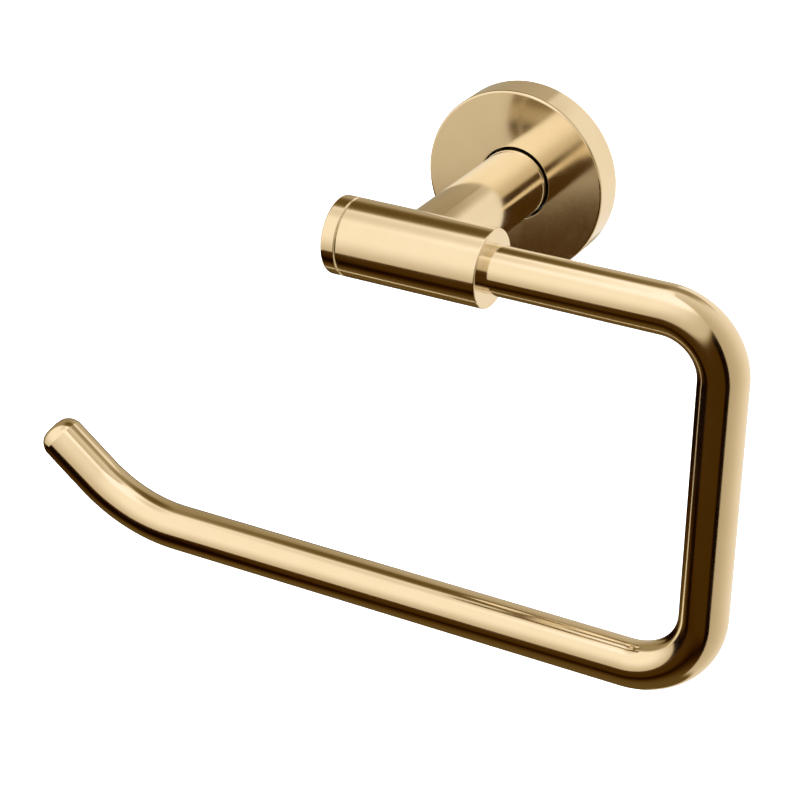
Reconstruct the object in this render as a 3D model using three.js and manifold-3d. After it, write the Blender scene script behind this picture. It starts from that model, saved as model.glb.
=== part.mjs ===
// Toilet paper holder with a round wall rosette and a swinging open arm.
// Millimetres. The origin is the centre of the rosette's back face, on the wall.
// +Z is up, +X is to the right for someone facing the wall, and the holder stands out along -Y.

import * as THREE from 'three';
import { mergeVertices } from 'three/addons/utils/BufferGeometryUtils.js';
import Module from 'manifold-3d';

const wasm = await Module();
wasm.setup();

// ---------------------------------------------------------------- driving dimensions

const GAP = 0.3; // clearance kept between neighbouring pieces

const ROSETTE_RADIUS = 20;
const ROSETTE_DEPTH = 7.5;
const ROSETTE_WALL = 1.5;
const ROSETTE_HOLE_RADIUS = 7.9;
const ROSETTE_EDGE = 0.5; // rounding of the rim
const COLLAR_RADIUS = 11.5; // boss behind the front wall, round the hole
const COLLAR_BACK = 3.3; // distance of the boss's rear face from the wall

const POST_RADIUS = 7.4;
const BARREL_OUT = 49; // barrel axis to wall

const BARREL_RADIUS = 8;
const BARREL_RIGHT = 15.8;
const CAP_JOINT = -15; // plane of the groove between cap and barrel
const CAP_LEFT = -18.2;
const GROOVE_BEVEL = 0.3;
const BORE_RADIUS = 6;
const BORE_END = 12.6; // the bore stops here and the arm's hole goes on
const SPOTFACE_RADIUS = 4.6;

const ROD_RADIUS = 5;
const ARM_SIDE_X = 64.25; // centreline of the arm's upright
const UPPER_BEND = 12.3;
const LOWER_BEND = 15.7;
const LOWER_BAR_DROP = 79.5; // barrel axis to the lower bar's centreline
const UPTURN_START = -59;
const UPTURN_BEND = 35;
const UPTURN_ANGLE = THREE.MathUtils.degToRad(38);
const TIP_LENGTH = 14.2; // straight end after the upturn
const TIP_EDGE = 3; // rounding of the tip's rim

const JOURNAL_RADIUS = 4;
const JOURNAL_END = -11;
const WAIST_RADIUS = 3.4; // thinner middle that clears the post screw's head
const WAIST_HALF = 4.9;
const BUSH_LENGTH = 6.5;

const PLATE_RADIUS = 16.5;
const PLATE_THICKNESS = 3;
const WALL_HOLE_OFFSET = 11.9; // each screw hole's centre, above and below the post
const WALL_HOLE_RADIUS = 2.3;
const WALL_SINK_RADIUS = 3.9;
const RIVET_RADIUS = 3;
const SPIGOT_RADIUS = 5;
const SPIGOT_END = 17;
const GRUB_Y = 5.6; // distance of the grub screw from the wall
const GRUB_RADIUS = 1.5;
const SPIGOT_FLAT = 4; // spigot axis to the flat that the grub screw presses on

const GRIP_RING_SECTION = 0.7;
const CAP_RING_SECTION = 0.45;
const SMALL_SCREW_RADIUS = 2; // M4
const POST_SCREW_RADIUS = 2.5; // M5

const WIDE_SIDES = 60;
const ROUND_SIDES = 36;
const ROD_SIDES = 28;
const SMALL_SIDES = 16;

// ---------------------------------------------------------------- finishes

const FINISHES = {
  gold: { color: 0xc9a063, metalness: 1, roughness: 0.18 },
  plate: { color: 0x9c9a94, metalness: 1, roughness: 0.4 },
  steel: { color: 0xa9abad, metalness: 1, roughness: 0.3 },
  rubber: { color: 0x16140f, metalness: 0, roughness: 0.75 },
  plastic: { color: 0xe9e6dc, metalness: 0, roughness: 0.45 },
};

// ---------------------------------------------------------------- tools

// Makes a closed geometry into a solid that can be cut and joined.
function toSolid(geometry) {
  const bare = geometry.clone();
  bare.deleteAttribute('normal');
  bare.deleteAttribute('uv');
  const merged = mergeVertices(bare, 1e-5);
  const corners = merged.index.array;
  const triangles = [];
  for (let i = 0; i < corners.length; i += 3) {
    const [a, b, c] = [corners[i], corners[i + 1], corners[i + 2]];
    if (a !== b && b !== c && c !== a) triangles.push(a, b, c);
  }
  return new wasm.Manifold(new wasm.Mesh({
    numProp: 3,
    vertProperties: Float32Array.from(merged.attributes.position.array),
    triVerts: Uint32Array.from(triangles),
  }));
}

// Gives a solid back as a geometry.
function toGeometry(solid) {
  const mesh = solid.getMesh();
  const geometry = new THREE.BufferGeometry();
  geometry.setAttribute('position', new THREE.BufferAttribute(mesh.vertProperties, 3));
  geometry.setIndex(new THREE.BufferAttribute(mesh.triVerts, 1));
  geometry.computeVertexNormals();
  return geometry;
}

// Points of a quarter or part circle in a profile, angles in degrees.
function arc(centreAlong, centreRadius, radius, from, to, steps = 4) {
  return Array.from({ length: steps + 1 }, (_, i) => {
    const angle = THREE.MathUtils.degToRad(from + ((to - from) * i) / steps);
    return [centreAlong + radius * Math.cos(angle), centreRadius + radius * Math.sin(angle)];
  });
}

// Turns a profile of [along, radius] points about the Y axis. The profile runs towards +Y on its
// outside and either meets the axis at both ends or closes on itself.
function turned(profile, sides = ROUND_SIDES) {
  const points = profile.map(([along, radius]) => new THREE.Vector2(radius, along));
  return new THREE.LatheGeometry(points, sides);
}

// A ring's profile comes back to its first point.
function ring(profile, sides = ROUND_SIDES) {
  return turned([...profile, profile[0]], sides);
}

// A cylinder between two places along Y.
function rod(radius, from, to, sides = ROUND_SIDES) {
  return turned([[from, 0], [from, radius], [to, radius], [to, 0]], sides);
}

// A square-edged tube or washer between two places along Y.
function sleeve(inner, outer, from, to, sides = ROUND_SIDES) {
  return ring([[from, inner], [from, outer], [to, outer], [to, inner]], sides);
}

// A six-sided socket's cutter between two places along Y.
function socket(acrossFlats, from, to) {
  const geometry = new THREE.CylinderGeometry(acrossFlats / Math.sqrt(3), acrossFlats / Math.sqrt(3), to - from, 6);
  return geometry.translate(0, (from + to) / 2, 0);
}

function cut(geometry, ...cutters) {
  return toGeometry(cutters.reduce((solid, cutter) => solid.subtract(toSolid(cutter)), toSolid(geometry)));
}

function join(geometry, ...others) {
  return toGeometry(others.reduce((solid, other) => solid.add(toSolid(other)), toSolid(geometry)));
}

function piece(name, geometry, finish) {
  const mesh = new THREE.Mesh(toGeometry(toSolid(geometry)), new THREE.MeshStandardMaterial(FINISHES[finish]));
  mesh.name = name;
  return mesh;
}

// ---------------------------------------------------------------- wall side, turned about Y

function rosetteCover() {
  const inside = ROSETTE_RADIUS - ROSETTE_WALL;
  const frontInside = -ROSETTE_DEPTH + ROSETTE_WALL;
  const ringSeat = ROSETTE_HOLE_RADIUS + 1.5;
  const rim = arc(-ROSETTE_DEPTH + ROSETTE_EDGE, ROSETTE_RADIUS - ROSETTE_EDGE, ROSETTE_EDGE, 180, 90);
  const cup = ring([
    [-ROSETTE_DEPTH + GAP, ROSETTE_HOLE_RADIUS],
    [-ROSETTE_DEPTH, ROSETTE_HOLE_RADIUS + GAP],
    ...rim,
    [-GAP, ROSETTE_RADIUS],
    [0, ROSETTE_RADIUS - GAP],
    [0, inside],
    [frontInside, inside],
    [frontInside, COLLAR_RADIUS],
    [-COLLAR_BACK, COLLAR_RADIUS],
    [-COLLAR_BACK, ROSETTE_HOLE_RADIUS],
    [-COLLAR_BACK - 0.4, ROSETTE_HOLE_RADIUS],
    [-COLLAR_BACK - 0.4, ringSeat],
    [-COLLAR_BACK - 2.4, ringSeat],
    [-COLLAR_BACK - 2.4, ROSETTE_HOLE_RADIUS],
  ], WIDE_SIDES);
  return piece('rosette_cover', cup, 'gold');
}

function gripRing() {
  const centre = POST_RADIUS + GAP + GRIP_RING_SECTION;
  const section = arc(-COLLAR_BACK - 1.4, centre, GRIP_RING_SECTION, 180, -180, 8).slice(0, -1);
  return piece('rosette_grip_ring', ring(section), 'rubber');
}

function wallPlate() {
  const disc = ring([
    [-PLATE_THICKNESS, RIVET_RADIUS + GAP],
    [-PLATE_THICKNESS, PLATE_RADIUS - 0.5],
    [-PLATE_THICKNESS + 0.5, PLATE_RADIUS],
    [0, PLATE_RADIUS],
    [0, RIVET_RADIUS + GAP],
  ]);
  const sink = WALL_SINK_RADIUS - WALL_HOLE_RADIUS;
  const screwHole = turned([
    [-PLATE_THICKNESS - 1, 0],
    [-PLATE_THICKNESS - 1, WALL_SINK_RADIUS],
    [-PLATE_THICKNESS, WALL_SINK_RADIUS],
    [-PLATE_THICKNESS + sink, WALL_HOLE_RADIUS],
    [1, WALL_HOLE_RADIUS],
    [1, 0],
  ], SMALL_SIDES);
  const upper = screwHole.clone().translate(0, 0, WALL_HOLE_OFFSET);
  const lower = screwHole.clone().translate(0, 0, -WALL_HOLE_OFFSET);
  return piece('wall_plate', cut(disc, upper, lower), 'plate');
}

function plateSpigot() {
  const seat = -PLATE_THICKNESS - GAP;
  const peg = turned([
    [-SPIGOT_END, 0],
    [-SPIGOT_END, SPIGOT_RADIUS - 0.7],
    [-SPIGOT_END + 0.7, SPIGOT_RADIUS],
    [seat, SPIGOT_RADIUS],
    [seat, RIVET_RADIUS],
    [0, RIVET_RADIUS],
    [0, 0],
  ], ROD_SIDES);
  const flat = new THREE.BoxGeometry(12, SPIGOT_END - 4, 4);
  flat.translate(0, -(SPIGOT_END + 4) / 2 - 0.01, -SPIGOT_FLAT - 2);
  return piece('plate_spigot', cut(peg, flat), 'plate');
}

function post() {
  const back = -PLATE_THICKNESS - GAP;
  const front = -BARREL_OUT;
  const body = turned([
    [front, 0],
    [front, POST_RADIUS],
    [back - 0.4, POST_RADIUS],
    [back, POST_RADIUS - 0.4],
    [back, 0],
  ]);
  const cope = rod(BARREL_RADIUS + GAP, -20, 20, WIDE_SIDES).rotateZ(-Math.PI / 2).translate(0, front, 0);
  const spigotBore = rod(SPIGOT_RADIUS + GAP, -SPIGOT_END - 1, back + 1, ROD_SIDES);
  const screwBore = rod(POST_SCREW_RADIUS + GAP, -BARREL_OUT, -28, SMALL_SIDES);
  const grubBore = rod(GRUB_RADIUS + GAP, 0, 12, SMALL_SIDES).rotateX(-Math.PI / 2).translate(0, -GRUB_Y, 0);
  return piece('post', cut(body, cope, spigotBore, screwBore, grubBore), 'gold');
}

function grubScrew() {
  const tip = -SPIGOT_FLAT - GAP;
  const head = -POST_RADIUS + 0.4;
  const body = turned([
    [head, 0],
    [head, GRUB_RADIUS],
    [tip - 0.5, GRUB_RADIUS],
    [tip, GRUB_RADIUS - 0.5],
    [tip, 0],
  ], SMALL_SIDES);
  const screw = cut(body, socket(1.5, head - 1, head + 1.2));
  const mesh = piece('post_grub_screw', screw, 'steel');
  mesh.rotation.x = Math.PI / 2;
  mesh.position.y = -GRUB_Y;
  return mesh;
}

function postScrew() {
  const seat = -BARREL_OUT + BORE_RADIUS - GAP;
  const head = seat - 1.4;
  const body = turned([
    [head, 0],
    [head, SPOTFACE_RADIUS - GAP - 0.5],
    [head + 0.5, SPOTFACE_RADIUS - GAP],
    [seat, SPOTFACE_RADIUS - GAP],
    [seat, POST_SCREW_RADIUS],
    [-29, POST_SCREW_RADIUS],
    [-28.5, POST_SCREW_RADIUS - 0.5],
    [-28.5, 0],
  ], SMALL_SIDES);
  return piece('post_screw', cut(body, socket(3, head - 1, head + 1)), 'steel');
}

// ---------------------------------------------------------------- pivot, turned about Y, laid along X

function barrel() {
  const left = CAP_JOINT + GAP / 2;
  const edge = 0.45;
  const tube = ring([
    [left, BORE_RADIUS],
    [left, BARREL_RADIUS - GROOVE_BEVEL],
    [left + GROOVE_BEVEL, BARREL_RADIUS],
    ...arc(BARREL_RIGHT - edge, BARREL_RADIUS - edge, edge, 90, 0, 3),
    [BARREL_RIGHT, ROD_RADIUS + GAP],
    [BORE_END, ROD_RADIUS + GAP],
    [BORE_END, BORE_RADIUS],
  ], WIDE_SIDES);
  const hole = rod(POST_SCREW_RADIUS + GAP, 0, 12, SMALL_SIDES).rotateZ(Math.PI / 2);
  const spotface = rod(SPOTFACE_RADIUS, 0, BORE_RADIUS, ROD_SIDES).rotateZ(Math.PI / 2);
  return piece('barrel', cut(tube, hole, spotface), 'gold');
}

function endCap() {
  const right = CAP_JOINT - GAP / 2;
  const edge = 0.7;
  const spigot = BORE_RADIUS - GAP;
  const seat = spigot - 2 * CAP_RING_SECTION - GAP;
  const body = turned([
    [CAP_LEFT, 0],
    ...arc(CAP_LEFT + edge, BARREL_RADIUS - edge, edge, 180, 90, 4),
    [right - GROOVE_BEVEL, BARREL_RADIUS],
    [right, BARREL_RADIUS - GROOVE_BEVEL],
    [right, spigot],
    [right + 0.5, spigot],
    [right + 0.5, seat],
    [right + 2, seat],
    [right + 2, spigot],
    [right + 2.5, spigot],
    [right + 2.5, 3.9],
    [CAP_LEFT + 1.7, 3.9],
    [CAP_LEFT + 1.7, 0],
  ], WIDE_SIDES);
  return piece('end_cap', body, 'gold');
}

function capRing() {
  const centre = BORE_RADIUS - GAP - CAP_RING_SECTION;
  const section = arc(CAP_JOINT - GAP / 2 + 1.25, centre, CAP_RING_SECTION, 180, -180, 6).slice(0, -1);
  return piece('cap_o_ring', ring(section), 'rubber');
}

function bush(name, from, to) {
  const inner = JOURNAL_RADIUS + GAP;
  const outer = BORE_RADIUS - GAP;
  const body = ring([
    [from, inner],
    [from, outer - 0.3],
    [from + 0.3, outer],
    [to - 0.3, outer],
    [to, outer - 0.3],
    [to, inner],
  ]);
  return piece(name, body, 'plastic');
}

// ---------------------------------------------------------------- arm

// The rod's centreline. Each straight takes one step and each bend several, so the steps fall on the
// places where a bend begins and ends.
class RodPath extends THREE.Curve {
  constructor() {
    super();
    this.stations = [];
  }

  straight(x, z, heading) {
    this.stations.push({ x, z, heading });
    return this;
  }

  // Headings are angles in the XZ plane from +X towards +Z. The bend starts at the last station.
  bend(radius, turn, steps) {
    const { x, z, heading } = this.stations.at(-1);
    const side = Math.sign(turn);
    const centreX = x - side * radius * Math.sin(heading);
    const centreZ = z + side * radius * Math.cos(heading);
    for (let i = 1; i <= steps; i++) {
      const angle = heading + (turn * i) / steps;
      this.straight(centreX + side * radius * Math.sin(angle), centreZ - side * radius * Math.cos(angle), angle);
    }
    return this;
  }

  forward(length) {
    const { x, z, heading } = this.stations.at(-1);
    return this.straight(x + length * Math.cos(heading), z + length * Math.sin(heading), heading);
  }

  station(u) {
    return this.stations[Math.round(u * (this.stations.length - 1))];
  }

  getPointAt(u, target = new THREE.Vector3()) {
    const { x, z } = this.station(u);
    return target.set(x, 0, z);
  }

  getTangentAt(u, target = new THREE.Vector3()) {
    const { heading } = this.station(u);
    return target.set(Math.cos(heading), 0, Math.sin(heading));
  }
}

function armPath() {
  const uprightTop = -UPPER_BEND;
  const uprightBottom = -LOWER_BAR_DROP + LOWER_BEND;
  const lowerBar = ARM_SIDE_X - LOWER_BEND - UPTURN_START;
  return new RodPath()
    .straight(BORE_END, 0, 0)
    .forward(ARM_SIDE_X - UPPER_BEND - BORE_END)
    .bend(UPPER_BEND, -Math.PI / 2, 12)
    .forward(uprightTop - uprightBottom)
    .bend(LOWER_BEND, -Math.PI / 2, 12)
    .forward(lowerBar)
    .bend(UPTURN_BEND, -UPTURN_ANGLE, 8)
    .forward(TIP_LENGTH);
}

function arm() {
  const path = armPath();
  const circle = new THREE.Shape(
    Array.from({ length: ROD_SIDES }, (_, i) => {
      const angle = (2 * Math.PI * i) / ROD_SIDES;
      return new THREE.Vector2(ROD_RADIUS * Math.cos(angle), ROD_RADIUS * Math.sin(angle));
    }),
  );
  const bar = new THREE.ExtrudeGeometry(circle, {
    steps: path.stations.length - 1,
    curveSegments: ROD_SIDES,
    extrudePath: path,
  });

  // The ring that rounds the rim of the tip, made on the Y axis and laid on the end of the rod.
  const { x, z, heading } = path.stations.at(-1);
  const tipRounder = ring([
    [1, ROD_RADIUS - TIP_EDGE],
    [0, ROD_RADIUS - TIP_EDGE],
    ...arc(-TIP_EDGE, ROD_RADIUS - TIP_EDGE, TIP_EDGE, 15, 75, 4),
    [-TIP_EDGE, ROD_RADIUS + 0.3],
    [-TIP_EDGE, ROD_RADIUS + 2],
    [1, ROD_RADIUS + 2],
  ], ROD_SIDES).rotateZ(-Math.PI / 2).rotateY(-heading).translate(x, 0, z);

  // The journal that turns in the bushes: a waist in the middle and a tapped hole in the end.
  const journal = turned([
    [JOURNAL_END, 0],
    [JOURNAL_END, JOURNAL_RADIUS - 0.4],
    [JOURNAL_END + 0.4, JOURNAL_RADIUS],
    [-WAIST_HALF - 0.6, JOURNAL_RADIUS],
    [-WAIST_HALF, WAIST_RADIUS],
    [WAIST_HALF, WAIST_RADIUS],
    [WAIST_HALF + 0.6, JOURNAL_RADIUS],
    [BORE_END + 2, JOURNAL_RADIUS],
    [BORE_END + 2, 0],
  ], ROD_SIDES).rotateZ(-Math.PI / 2);
  const tappedHole = rod(SMALL_SCREW_RADIUS + GAP, JOURNAL_END - 1, -3.5, SMALL_SIDES).rotateZ(-Math.PI / 2);
  return piece('arm', cut(join(bar, journal), tipRounder, tappedHole), 'gold');
}

function armWashers() {
  const washer = sleeve(SMALL_SCREW_RADIUS + GAP, 5.3, JOURNAL_END - GAP - 0.8, JOURNAL_END - GAP);
  const lockRight = JOURNAL_END - 2 * GAP - 0.8;
  const lockWasher = sleeve(SMALL_SCREW_RADIUS + GAP, 3.5, lockRight - 0.8, lockRight, ROD_SIDES);
  return [piece('arm_washer', washer, 'steel'), piece('arm_lock_washer', lockWasher, 'steel')];
}

function armScrew() {
  const seat = JOURNAL_END - 3 * GAP - 1.6;
  const head = seat - 1.9;
  const body = turned([
    [head, 0],
    [head, 3],
    [head + 0.5, 3.5],
    [seat, 3.5],
    [seat, SMALL_SCREW_RADIUS],
    [-4.3, SMALL_SCREW_RADIUS],
    [-3.8, SMALL_SCREW_RADIUS - 0.5],
    [-3.8, 0],
  ], SMALL_SIDES);
  return piece('arm_screw', cut(body, socket(2.5, head - 1, head + 1.1)), 'steel');
}

// ---------------------------------------------------------------- assembly

const group = new THREE.Group();

const wallSide = new THREE.Group();
wallSide.add(wallPlate(), plateSpigot(), rosetteCover(), gripRing(), post(), grubScrew(), postScrew());

// Everything turned about the barrel's axis lies along X at the end of the post.
const pivot = new THREE.Group();
pivot.position.y = -BARREL_OUT;
const turnedPieces = new THREE.Group();
turnedPieces.rotation.z = -Math.PI / 2;
turnedPieces.add(
  barrel(),
  endCap(),
  capRing(),
  bush('bush_left', JOURNAL_END + GAP, JOURNAL_END + GAP + BUSH_LENGTH - 0.9),
  bush('bush_right', BORE_END - GAP - BUSH_LENGTH, BORE_END - GAP),
  ...armWashers(),
  armScrew(),
);
pivot.add(turnedPieces, arm());

group.add(wallSide, pivot);

export default group;
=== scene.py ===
"""Toilet paper holder with a round wall rosette, a post and barrel, and a swinging open arm.

The outer sizes come from the boxes of the frame's nodes. All the others are fields of the class
that uses them, in metres.
"""
import logging
import math
from dataclasses import dataclass, field
from enum import Enum
from typing import Callable, Iterable, Optional, Sequence

import bmesh
import bpy
from mathutils import Matrix, Vector


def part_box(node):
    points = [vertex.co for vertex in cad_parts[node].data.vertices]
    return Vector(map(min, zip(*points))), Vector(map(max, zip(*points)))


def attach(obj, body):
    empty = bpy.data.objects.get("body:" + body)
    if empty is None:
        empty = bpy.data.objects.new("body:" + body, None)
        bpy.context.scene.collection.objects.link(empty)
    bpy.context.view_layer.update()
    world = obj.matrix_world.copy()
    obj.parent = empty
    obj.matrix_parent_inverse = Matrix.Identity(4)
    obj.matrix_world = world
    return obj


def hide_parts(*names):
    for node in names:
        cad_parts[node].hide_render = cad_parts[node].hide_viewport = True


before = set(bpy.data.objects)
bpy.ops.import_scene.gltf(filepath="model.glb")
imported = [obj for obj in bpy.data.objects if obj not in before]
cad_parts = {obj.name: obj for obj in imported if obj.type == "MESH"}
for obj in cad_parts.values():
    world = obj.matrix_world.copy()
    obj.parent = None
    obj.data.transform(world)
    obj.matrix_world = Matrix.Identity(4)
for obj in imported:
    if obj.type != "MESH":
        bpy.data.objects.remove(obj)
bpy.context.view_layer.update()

MM = 0.001
OVERCUT = 1 * MM  # how far a cutter passes the face that it cuts
MERGE_DISTANCE = 1e-7
SHARP_DEGREES = 32.0
THREAD_SHARP_DEGREES = 50.0

Colour = tuple[float, float, float, float]
Direction = tuple[float, float, float]
Ring = list[bmesh.types.BMVert]

log = logging.getLogger("toilet_paper_holder")


class Body(Enum):
    """The two rigid bodies of the frame."""

    HOLDER = "holder"
    ARM = "arm"


class Slot(Enum):
    """The record's material slots."""

    GOLD = "gold"
    PLATED_STEEL = "plated_steel"
    STEEL = "steel"
    RUBBER = "rubber"
    PLASTIC = "bush_plastic"


class Axis(Enum):
    """The direction that a turned piece's axis takes."""

    WALL = "y"
    BARREL = "x"
    UP = "z"

    def point(self, along: float, u: float, v: float) -> Vector:
        """Places a point by its distance along the axis and its two distances from it."""
        places = {Axis.WALL: (u, along, v), Axis.BARREL: (along, u, v), Axis.UP: (u, v, along)}
        return Vector(places[self])


# ------------------------------------------------------------------ frame measures


@dataclass(frozen=True)
class NodeBox:
    """The box of one CAD node at rest, in metres."""

    low: Vector
    high: Vector

    @classmethod
    def of(cls, node: str) -> "NodeBox":
        """Reads a node's box from the frame."""
        low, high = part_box(node)
        return cls(Vector(low), Vector(high))

    @property
    def size(self) -> Vector:
        """Returns the box's edge lengths."""
        return self.high - self.low

    @property
    def centre(self) -> Vector:
        """Returns the box's centre."""
        return (self.high + self.low) / 2


def box_of(node: str) -> NodeBox:
    """Makes a dataclass field that holds a node's box."""
    return field(default_factory=lambda: NodeBox.of(node))


# ------------------------------------------------------------------ mesh building


@dataclass(frozen=True)
class Corner:
    """A corner of a turned profile, with the radius of its rounding."""

    along: float
    radius: float
    rounding: float = 0.0


def across_face(along: float, start: float, end: float, rings: int = 8) -> list[Corner]:
    """Divides a flat face into rings, so that its polygons stay short."""
    return [Corner(along, start + (end - start) * k / rings) for k in range(1, rings)]


def rounded(
    corners: Sequence[Corner],
    closed: bool,
    steps: int = 6,
    support_share: float = 0.35,
    support_most: float = 0.08 * MM,
) -> list[tuple[float, float]]:
    """Rounds a profile's corners and adds a support point on each side of a rounding.

    Args:
        corners: The profile's corners in order.
        closed: Whether the last corner joins the first.
        steps: The number of segments in a rounding.
        support_share: How far a support point is from the rounding, as a share of its radius.
        support_most: The most that a support point is from the rounding.

    Returns:
        The profile's points as (along, radius) pairs.
    """
    count = len(corners)
    points: list[tuple[float, float]] = []
    for i, corner in enumerate(corners):
        here = Vector((corner.along, corner.radius))
        inner = closed or 0 < i < count - 1
        if corner.rounding <= 0 or not inner:
            points.append((here.x, here.y))
            continue
        before, after = corners[i - 1], corners[(i + 1) % count]
        to_before = (Vector((before.along, before.radius)) - here).normalized()
        to_after = (Vector((after.along, after.radius)) - here).normalized()
        half = to_before.angle(to_after) / 2
        reach = corner.rounding / math.tan(half)
        centre = here + (to_before + to_after).normalized() * (corner.rounding / math.sin(half))
        start = here + to_before * reach
        end = here + to_after * reach
        support = min(corner.rounding * support_share, support_most)
        points.append(tuple(start + to_before * support))
        arm_a, arm_b = start - centre, end - centre
        sweep = arm_a.angle_signed(arm_b)
        for step in range(steps + 1):
            turn = Matrix.Rotation(-sweep * step / steps, 2)
            points.append(tuple(centre + turn @ arm_a))
        points.append(tuple(end + to_after * support))
    return points


def shade(mesh: bpy.types.Mesh, sharp_degrees: float = SHARP_DEGREES) -> None:
    """Smooths a mesh, except at the edges that turn by more than an angle."""
    mesh.polygons.foreach_set("use_smooth", [True] * len(mesh.polygons))
    mesh.set_sharp_from_angle(angle=math.radians(sharp_degrees))


def finish_mesh(
    name: str, mesh_data: bmesh.types.BMesh, sharp_degrees: float = SHARP_DEGREES
) -> bpy.types.Object:
    """Cleans a bmesh, shades it and links it to the scene as an object.

    Args:
        name: The piece's name.
        mesh_data: The bmesh, which is freed.
        sharp_degrees: Edges that turn by more than this stay sharp.

    Returns:
        The new object.
    """
    bmesh.ops.remove_doubles(mesh_data, verts=mesh_data.verts, dist=MERGE_DISTANCE)
    bmesh.ops.recalc_face_normals(mesh_data, faces=mesh_data.faces)
    mesh = bpy.data.meshes.new(name)
    mesh_data.to_mesh(mesh)
    mesh_data.free()
    shade(mesh, sharp_degrees)
    piece = bpy.data.objects.new(name, mesh)
    bpy.context.scene.collection.objects.link(piece)
    return piece


def add_ring(
    mesh_data: bmesh.types.BMesh, sides: int, point: Callable[[float], Vector]
) -> Ring:
    """Adds one ring of vertices; point gives the place of the one at an angle in radians."""
    return [mesh_data.verts.new(point(2 * math.pi * i / sides)) for i in range(sides)]


def skin_rings(mesh_data: bmesh.types.BMesh, rings: Sequence[Ring], closed: bool) -> None:
    """Joins neighbouring rings of equal length with quads.

    Args:
        mesh_data: The bmesh that owns the vertices.
        rings: The rings in order.
        closed: Whether the last ring joins the first.
    """
    count = len(rings)
    for i in range(count if closed else count - 1):
        ring, following = rings[i], rings[(i + 1) % count]
        for j in range(len(ring)):
            k = (j + 1) % len(ring)
            mesh_data.faces.new((ring[j], ring[k], following[k], following[j]))


def skin_bar(mesh_data: bmesh.types.BMesh, rings: Sequence[Ring]) -> None:
    """Joins neighbouring rings with quads and closes both ends.

    Args:
        mesh_data: The bmesh that owns the vertices.
        rings: The rings in order.
    """
    skin_rings(mesh_data, rings, closed=False)
    mesh_data.faces.new(rings[0])
    mesh_data.faces.new(rings[-1])


def turned(
    name: str,
    profile: Sequence[tuple[float, float]],
    closed: bool,
    axis: Axis,
    origin: Vector,
    sides: int,
) -> bpy.types.Object:
    """Turns a profile about an axis.

    Args:
        name: The piece's name.
        profile: Points as (along, radius) pairs.
        closed: Whether the profile closes on itself; if not, it ends on the axis.
        axis: The direction of the axis.
        origin: The point on the axis where along is zero.
        sides: The number of facets round the axis.

    Returns:
        The new object.
    """
    mesh_data = bmesh.new()
    rings = [
        add_ring(mesh_data, sides, lambda angle: origin + axis.point(
            along, radius * math.cos(angle), radius * math.sin(angle)))
        for along, radius in profile
    ]
    skin_rings(mesh_data, rings, closed)
    return finish_mesh(name, mesh_data)


def lathed(
    name: str, corners: Sequence[Corner], closed: bool, axis: Axis, origin: Vector, sides: int
) -> bpy.types.Object:
    """Turns a profile with rounded corners about an axis."""
    return turned(name, rounded(corners, closed), closed, axis, origin, sides)


def rubber_ring(
    name: str,
    radius: float,
    section: float,
    axis: Axis,
    centre: Vector,
    steps: int = 24,
    flash: float = 1.04,
) -> bpy.types.Object:
    """Makes an O-ring with the thin flash line of its mould.

    Args:
        name: The piece's name.
        radius: The radius of the ring's centreline.
        section: The radius of its round section.
        axis: The ring's axis.
        centre: The ring's centre.
        steps: The number of points round the section.
        flash: The radius at the flash line, as a share of the section's.

    Returns:
        The new object.
    """
    profile = []
    for i in range(steps):
        angle = 2 * math.pi * i / steps
        reach = section * (flash if i % (steps // 2) == 0 else 1.0)
        profile.append((reach * math.sin(angle), radius + reach * math.cos(angle)))
    return turned(name, profile, True, axis, centre, sides=96)


def threaded(
    name: str,
    radius: float,
    depth: float,
    pitch: float,
    ends: tuple[float, float],
    axis: Axis,
    origin: Vector,
    sides: int = 32,
    rows_per_turn: int = 8,
) -> bpy.types.Object:
    """Makes a threaded bar, with a lead-in at both ends.

    Args:
        name: The piece's name.
        radius: The radius over the thread.
        depth: The thread's depth.
        pitch: The distance from crest to crest.
        ends: The two places along the axis.
        axis: The bar's axis.
        origin: The point on the axis where along is zero.
        sides: The number of points round the bar.
        rows_per_turn: The number of rows of points in one pitch.

    Returns:
        The new object.
    """
    low, high = ends
    rows = max(2, round((high - low) / pitch * rows_per_turn))
    mesh_data = bmesh.new()
    rings = []
    for row in range(rows + 1):
        along = low + (high - low) * row / rows
        lead_in = min(along - low, high - along) / pitch

        def flank(angle: float) -> Vector:
            """Places one point of this row.

            Args:
                angle: The point's angle, in radians.

            Returns:
                The point.
            """
            phase = (along / pitch - angle / (2 * math.pi)) % 1.0
            reach = radius - depth * abs(2 * phase - 1) - depth * max(0.0, 1 - lead_in)
            return origin + axis.point(along, reach * math.cos(angle), reach * math.sin(angle))

        rings.append(add_ring(mesh_data, sides, flank))
    skin_bar(mesh_data, rings)
    return finish_mesh(name, mesh_data, THREAD_SHARP_DEGREES)


def bore_cutter(
    radius: float, ends: tuple[float, float], axis: Axis, origin: Vector, sides: int = 64
) -> bpy.types.Object:
    """Makes a straight cutter from one place along an axis to another."""
    profile = [(ends[0], 0.0), (ends[0], radius), (ends[1], radius), (ends[1], 0.0)]
    return turned("bore_cutter", profile, False, axis, origin, sides)


def hex_cutter(
    across_flats: float, ends: tuple[float, float], axis: Axis, origin: Vector
) -> bpy.types.Object:
    """Makes the cutter of a six-sided socket."""
    return bore_cutter(across_flats / math.sqrt(3), ends, axis, origin, sides=6)


def box_cutter(low: Direction, high: Direction) -> bpy.types.Object:
    """Makes a box-shaped cutter between two corners.

    Args:
        low: The corner with the lowest places.
        high: The opposite corner.

    Returns:
        The new object.
    """
    mesh_data = bmesh.new()
    bmesh.ops.create_cube(mesh_data, size=1.0)
    for vert in mesh_data.verts:
        vert.co = Vector(h if c > 0 else l for c, l, h in zip(vert.co, low, high))
    return finish_mesh("box_cutter", mesh_data)


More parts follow.
